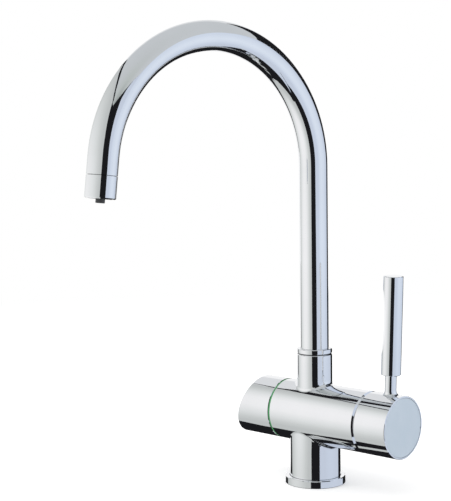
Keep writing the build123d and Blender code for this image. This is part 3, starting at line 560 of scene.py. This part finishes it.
def stage_mesh(name, points, faces, material):
    """Object that belongs to the studio and not to the tap."""
    mesh = bpy.data.meshes.new(name)
    mesh.from_pydata(points, [], faces)
    mesh.materials.append(material)
    thing = bpy.data.objects.new(name, mesh)
    scene.collection.objects.link(thing)
    return thing


def mirrored_only(thing):
    """Leaves a part of the tent visible in the plating alone."""
    thing.visible_camera = False
    thing.visible_diffuse = False
    thing.visible_shadow = False


def panel(name, corners, colours, spot=None):
    """Flat piece of the tent through its corners."""
    points = [place(*corner) for corner in corners]
    face = tuple(range(len(points)))
    mirrored_only(stage_mesh(name, points, [face], glow(name, colours, spot)))


def level_panel(name, outline, height, colours, spot=None):
    """Level piece of the tent at a height."""
    panel(name, [(right, near, height) for right, near in outline], colours, spot)


def wall(name, posts, colours, spot=None):
    """Upright wall of the tent along posts, each with its place, foot and head."""
    points = []
    for right, near, foot, head in posts:
        points.append(place(right, near, foot))
        points.append(place(right, near, head))
    faces = [(2 * i, 2 * i + 2, 2 * i + 3, 2 * i + 1) for i in range(len(posts) - 1)]
    mirrored_only(stage_mesh(name, points, faces, glow(name, colours, spot)))


def make_floor():
    """White floor that keeps the tap's shadow and fades into the white surroundings."""
    material, tree, shader = start_material("floor")
    shader.inputs["Base Color"].default_value = (*floor_colour, 1)
    shader.inputs["Roughness"].default_value = floor_roughness
    shader.inputs["Specular IOR Level"].default_value = floor_specular
    shader.inputs["Emission Color"].default_value = (*white, 1)
    shader.inputs["Emission Strength"].default_value = floor_glow
    coordinates = tree.nodes.new("ShaderNodeTexCoord")
    reach = tree.nodes.new("ShaderNodeVectorMath")
    reach.operation = "LENGTH"
    tree.links.new(coordinates.outputs["Object"], reach.inputs[0])
    surroundings = tree.nodes.new("ShaderNodeEmission")
    blend = tree.nodes.new("ShaderNodeMixShader")
    fade = spread(tree, reach.outputs["Value"], floor_fade_start, floor_fade_end)
    tree.links.new(fade, blend.inputs["Fac"])
    tree.links.new(shader.outputs["BSDF"], blend.inputs[1])
    tree.links.new(surroundings.outputs["Emission"], blend.inputs[2])
    tree.links.new(blend.outputs["Shader"], tree.nodes["Material Output"].inputs["Surface"])
    half = floor_size / 2
    corners = [(-half, -half, 0), (half, -half, 0), (half, half, 0), (-half, half, 0)]
    floor = stage_mesh("floor", corners, [(0, 1, 2, 3)], material)
    floor.visible_glossy = False


def make_tent():
    """Tent in the places that the plating mirrors in the photograph."""
    left_wall = [(right, near, tent_low, head) for right, near, foot, head in left_rail]
    wall("left_wall", left_wall + [left_front_post], warm_cloth, left_spot)
    bar = [(right + rail_offset, near, foot - rail_drop, head) for right, near, foot, head in left_rail]
    wall("left_bar", bar, near_black)
    wall("left_frame", left_frame, near_black)
    wall("right_wall", right_wall, blue_cloth, right_spot)
    flap = [(right, tent_front, height) for right, height in right_flap]
    panel("right_flap", flap, blue_cloth, right_spot)
    roof_left = [(right, near) for right, near, foot, head in left_rail[roof_first_post:]]
    level_panel("roof", roof_left + roof_front + roof_rear, tent_top, roof_cloth, roof_spot)
    level_panel("roof_edge", roof_rear[:roof_edge_posts] + roof_beyond, tent_top, near_black)
    level_panel("dark_loft", dark_loft, loft_height, near_black)
    wall("backdrop", backdrop, backdrop_cloth)
    wall("right_edge", right_edge, near_black)
    wall("dark_front", dark_front, near_black)
    level_panel("dark_floor", dark_floor, tent_low, near_black)
    cloth_height = tent_low + cloth_rise
    level_panel("hub_strip", hub_strip, cloth_height, warm_cloth, left_spot)
    level_panel("strip", barrel_strip, cloth_height, warm_cloth, left_spot)
    level_panel("left_cloth", left_cloth, cloth_height, warm_cloth, left_spot)
    level_panel("right_cloth", right_cloth, cloth_height, blue_cloth, right_spot)


def make_world():
    """White surroundings for the camera and the plating, and even light for the rest."""
    world = bpy.data.worlds.new("surroundings")
    scene.world = world
    world.use_nodes = True
    background = world.node_tree.nodes["Background"]
    background.inputs["Color"].default_value = (*white, 1)
    background.inputs["Strength"].default_value = 1.0


def make_lamp(name, stand, size, power):
    """Soft square lamp that faces the tap."""
    data = bpy.data.lights.new(name, "AREA")
    data.size = size
    data.energy = power
    lamp = bpy.data.objects.new(name, data)
    lamp.location = stand
    aim = Vector((0, 0, camera_aim_height)) - lamp.location
    lamp.rotation_mode = "QUATERNION"
    lamp.rotation_quaternion = aim.to_track_quat("-Z", "Y")
    lamp.visible_glossy = False
    scene.collection.objects.link(lamp)


scene.view_settings.view_transform = "Standard"
make_camera()
dress_nodes()
make_floor()
make_tent()
make_world()
make_lamp("key_light", key_place, key_size, key_power)
